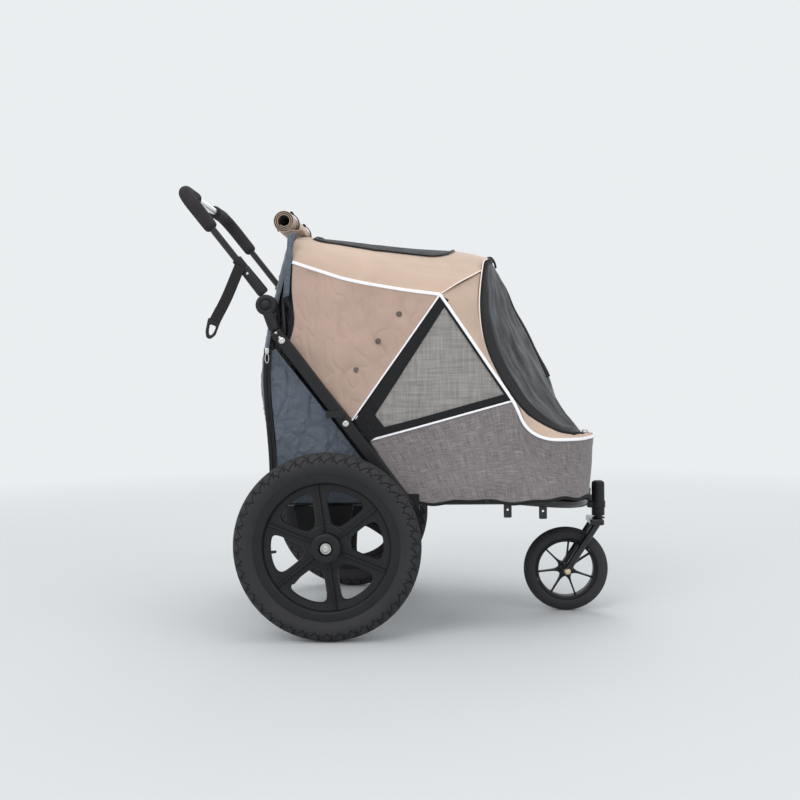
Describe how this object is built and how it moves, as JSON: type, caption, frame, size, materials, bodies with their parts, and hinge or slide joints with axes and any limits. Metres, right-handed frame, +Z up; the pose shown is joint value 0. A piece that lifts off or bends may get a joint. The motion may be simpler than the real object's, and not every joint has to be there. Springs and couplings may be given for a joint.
{
  "type": "pet stroller",
  "caption": "Pet stroller with large spoked rear wheels, a swivelling front caster, a folding tube frame, a tilting handle and a fabric cabin with mesh windows.",
  "frame": {"origin": "on the floor below the middle of the stroller's length and width, with the handle's far end and the caster's front as its ends", "axes": "+X forward to the caster, +Y to the stroller's left, +Z up"},
  "size_m": [0.9711, 0.625, 0.9975],
  "materials": {
    "frame_black": "gloss",
    "steel": "satin",
    "moulded_black": "fine moulded grain",
    "tyre_rubber": "matte",
    "grip_foam": "matte foam",
    "webbing": "ribbed webbing",
    "board": "matte",
    "mat_cloth": "matte woven",
    "beige_cloth": "matte woven",
    "cream_cloth": "matte woven",
    "grey_cloth": "matte melange weave",
    "slate_cloth": "satin nylon",
    "window_mesh": "open mesh",
    "dark_mesh": "open mesh"
  },
  "bodies": {
    "chassis": {"chassis_tube": "frame_black", "rear_cross_tube": "frame_black", "head_tube": "frame_black", "floor_board": "board", "floor_mat": "mat_cloth", "axle_beam": "frame_black", "axle_bracket_left": "frame_black", "axle_bracket_right": "frame_black", "axle_pin_left": "steel", "axle_pin_right": "steel", "pivot_bracket_left": "frame_black", "pivot_bracket_right": "frame_black", "tub_wall": "grey_cloth", "side_panel_left": "beige_cloth", "side_panel_right": "beige_cloth", "side_window_left": "window_mesh", "side_window_right": "window_mesh", "rear_side_panel_left": "slate_cloth", "rear_side_panel_right": "slate_cloth", "back_panel": "slate_cloth", "roof_panel": "cream_cloth", "roof_mesh": "dark_mesh", "front_surround": "cream_cloth", "rolled_cover": "cream_cloth"},
    "brake_pedal": {"brake_pedal": "moulded_black"},
    "side_frame": {"side_rail_left": "frame_black", "side_rail_right": "frame_black", "knuckle_base_left": "moulded_black", "knuckle_base_right": "moulded_black"},
    "rear_hoop": {"rear_hoop": "frame_black"},
    "front_hoop": {"front_hoop": "frame_black"},
    "handle": {"knuckle_socket_left": "moulded_black", "knuckle_socket_right": "moulded_black", "handle_bar": "frame_black", "grip_left": "grip_foam", "grip_right": "grip_foam", "strap_collar": "webbing", "fold_strap": "webbing", "strap_hook": "moulded_black"},
    "caster": {"caster_fork": "frame_black", "front_axle_bolt": "steel"},
    "front_wheel": {"front_tyre": "tyre_rubber", "front_rim": "moulded_black"},
    "front_door": {"front_door": "dark_mesh"},
    "brake_pin_left": {"brake_pin_left": "steel"},
    "rear_wheel_left": {"tyre_left": "tyre_rubber", "rim_left": "moulded_black", "brake_ring_left": "steel"},
    "button_left": {"knuckle_button_left": "moulded_black"},
    "latch_left": {"fold_latch_left": "moulded_black"},
    "slider_left": {"zip_slider_left": "steel"},
    "brake_pin_right": {"brake_pin_right": "steel"},
    "rear_wheel_right": {"tyre_right": "tyre_rubber", "rim_right": "moulded_black", "brake_ring_right": "steel"},
    "button_right": {"knuckle_button_right": "moulded_black"},
    "latch_right": {"fold_latch_right": "moulded_black"},
    "slider_right": {"zip_slider_right": "steel"}
  },
  "joints": [
    {"name": "frame_fold", "type": "hinge", "parent": "chassis", "child": "side_frame", "pos_m": [0.017, 0, 0.29], "axis": [0, -1, 0], "range_deg": [0, 46], "deforming": ["side_panel_left", "side_panel_right", "side_window_left", "side_window_right", "rear_side_panel_left", "rear_side_panel_right", "back_panel", "roof_panel", "roof_mesh", "front_surround", "rolled_cover", "front_door"]},
    {"name": "rear_hoop_fold", "type": "hinge", "parent": "side_frame", "child": "rear_hoop", "pos_m": [-0.25109, 0, 0.64706], "axis": [0, -1, 0], "range_deg": [-127, 0]},
    {"name": "front_hoop_fold", "type": "hinge", "parent": "side_frame", "child": "front_hoop", "pos_m": [-0.11347, 0, 0.46377], "axis": [0, -1, 0], "range_deg": [-89.5, 0]},
    {"name": "handle_tilt", "type": "hinge", "parent": "side_frame", "child": "handle", "pos_m": [-0.285, 0, 0.7255], "axis": [0, -1, 0], "range_deg": [-60, 45]},
    {"name": "caster_swivel", "type": "hinge", "parent": "chassis", "child": "caster", "pos_m": [0.465, 0, 0.26], "axis": [0, 0, 1], "continuous": true},
    {"name": "front_wheel_spin", "type": "hinge", "parent": "caster", "child": "front_wheel", "pos_m": [0.3868, 0, 0.1], "axis": [0, 1, 0], "continuous": true},
    {"name": "brake_press", "type": "hinge", "parent": "chassis", "child": "brake_pedal", "pos_m": [-0.152, 0, 0.203], "axis": [0, -1, 0], "range_deg": [0, 20]},
    {"name": "front_door_open", "type": "hinge", "parent": "chassis", "child": "front_door", "pos_m": [0.218, 0, 0.834], "axis": [0, 1, 0], "range_deg": [-100, 0]},
    {"name": "rear_wheel_spin_left", "type": "hinge", "parent": "chassis", "child": "rear_wheel_left", "pos_m": [-0.152, 0.28, 0.203], "axis": [0, 1, 0], "continuous": true},
    {"name": "brake_pin_slide_left", "type": "slide", "parent": "chassis", "child": "brake_pin_left", "axis": [0, 1, 0], "range_m": [0, 0.0081]},
    {"name": "button_press_left", "type": "slide", "parent": "side_frame", "child": "button_left", "axis": [0, -1, 0], "range_m": [0, 0.004], "stiffness_N_per_m": 400},
    {"name": "latch_turn_left", "type": "hinge", "parent": "side_frame", "child": "latch_left", "pos_m": [-0.1261, 0.2293, 0.48492], "axis": [0, 1, 0], "range_deg": [0, 40]},
    {"name": "zip_slide_left", "type": "slide", "parent": "chassis", "child": "slider_left", "axis": [0.0536, 0, -0.9986], "range_m": [0, 0.23]},
    {"name": "rear_wheel_spin_right", "type": "hinge", "parent": "chassis", "child": "rear_wheel_right", "pos_m": [-0.152, -0.28, 0.203], "axis": [0, 1, 0], "continuous": true},
    {"name": "brake_pin_slide_right", "type": "slide", "parent": "chassis", "child": "brake_pin_right", "axis": [0, -1, 0], "range_m": [0, 0.0081]},
    {"name": "button_press_right", "type": "slide", "parent": "side_frame", "child": "button_right", "axis": [0, 1, 0], "range_m": [0, 0.004], "stiffness_N_per_m": 400},
    {"name": "latch_turn_right", "type": "hinge", "parent": "side_frame", "child": "latch_right", "pos_m": [-0.1261, -0.2293, 0.48492], "axis": [0, 1, 0], "range_deg": [0, 40]},
    {"name": "zip_slide_right", "type": "slide", "parent": "chassis", "child": "slider_right", "axis": [0.0536, 0, -0.9986], "range_m": [0, 0.23]}
  ],
  "couplings": [
    {"joint": "rear_hoop_fold", "follows": "frame_fold", "ratio": -2.75},
    {"joint": "front_hoop_fold", "follows": "frame_fold", "ratio": -1.93},
    {"joint": "brake_pin_slide_left", "follows": "brake_press", "m_per_rad": 0.022918},
    {"joint": "brake_pin_slide_right", "follows": "brake_press", "m_per_rad": 0.022918}
  ]
}
